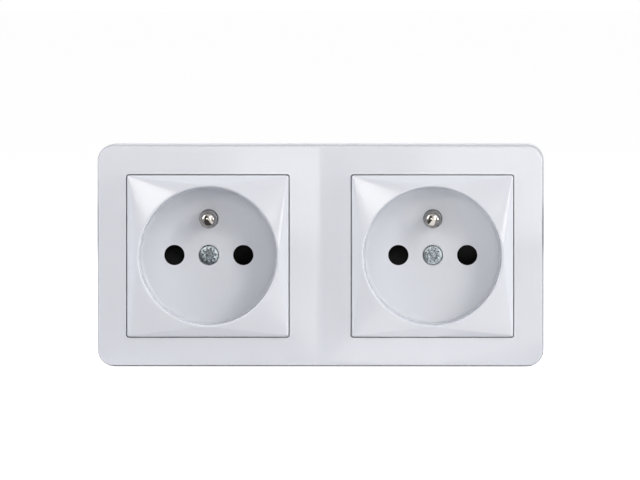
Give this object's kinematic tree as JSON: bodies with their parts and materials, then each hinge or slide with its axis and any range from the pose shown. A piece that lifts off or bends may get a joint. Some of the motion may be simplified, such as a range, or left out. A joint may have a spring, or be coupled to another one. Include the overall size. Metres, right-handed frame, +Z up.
{
  "type": "surface-mounted double socket outlet",
  "caption": "Surface-mounted socket outlet for a wall: round plug recesses with standing earth pins, set in square faces and a softly domed frame on a box.",
  "frame": {"origin": "centre of the box's back, where it meets the wall", "axes": "+X to the right along both sockets, +Y into the wall, +Z up; the sockets face -Y"},
  "size_m": [0.123, 0.0418, 0.0612],
  "materials": {
    "white_moulding": "gloss",
    "box_moulding": "satin",
    "grey_moulding": "matte",
    "shutter_moulding": "matte",
    "contact_brass": "satin",
    "nickel_plated_brass": "polished",
    "spring_steel": "satin",
    "zinc_plated_steel": "satin"
  },
  "bodies": {
    "outlet": {"back_box": "box_moulding", "frame": "white_moulding", "socket_face_left": "white_moulding", "contact_housing_left": "grey_moulding", "mechanism_cover_left": "grey_moulding", "line_contact_left": "contact_brass", "neutral_contact_left": "contact_brass", "earth_bar_left": "contact_brass", "earth_pin_left": "nickel_plated_brass", "shutter_spring_left": "spring_steel", "face_screw_left": "zinc_plated_steel", "face_nut_left": "zinc_plated_steel", "cover_screws_left": "zinc_plated_steel", "support_screws_left": "zinc_plated_steel", "terminal_screws_left": "zinc_plated_steel", "terminal_clamps_left": "zinc_plated_steel", "socket_face_right": "white_moulding", "contact_housing_right": "grey_moulding", "mechanism_cover_right": "grey_moulding", "line_contact_right": "contact_brass", "neutral_contact_right": "contact_brass", "earth_bar_right": "contact_brass", "earth_pin_right": "nickel_plated_brass", "shutter_spring_right": "spring_steel", "face_screw_right": "zinc_plated_steel", "face_nut_right": "zinc_plated_steel", "cover_screws_right": "zinc_plated_steel", "support_screws_right": "zinc_plated_steel", "terminal_screws_right": "zinc_plated_steel", "terminal_clamps_right": "zinc_plated_steel"},
    "shutter_left": {"shutter_left": "shutter_moulding"},
    "shutter_right": {"shutter_right": "shutter_moulding"}
  },
  "joints": [
    {"name": "shutter_turn_left", "type": "hinge", "parent": "outlet", "child": "shutter_left", "pos_m": [-0.0309, -0.0226, 0], "axis": [0, -1, 0], "range_deg": [0, 40], "stiffness_Nm_per_rad": 0.002, "springref_deg": -34.38, "deforming": ["shutter_spring_left"]},
    {"name": "shutter_turn_right", "type": "hinge", "parent": "outlet", "child": "shutter_right", "pos_m": [0.0309, -0.0226, 0], "axis": [0, -1, 0], "range_deg": [0, 40], "stiffness_Nm_per_rad": 0.002, "springref_deg": -34.38, "deforming": ["shutter_spring_right"]}
  ]
}
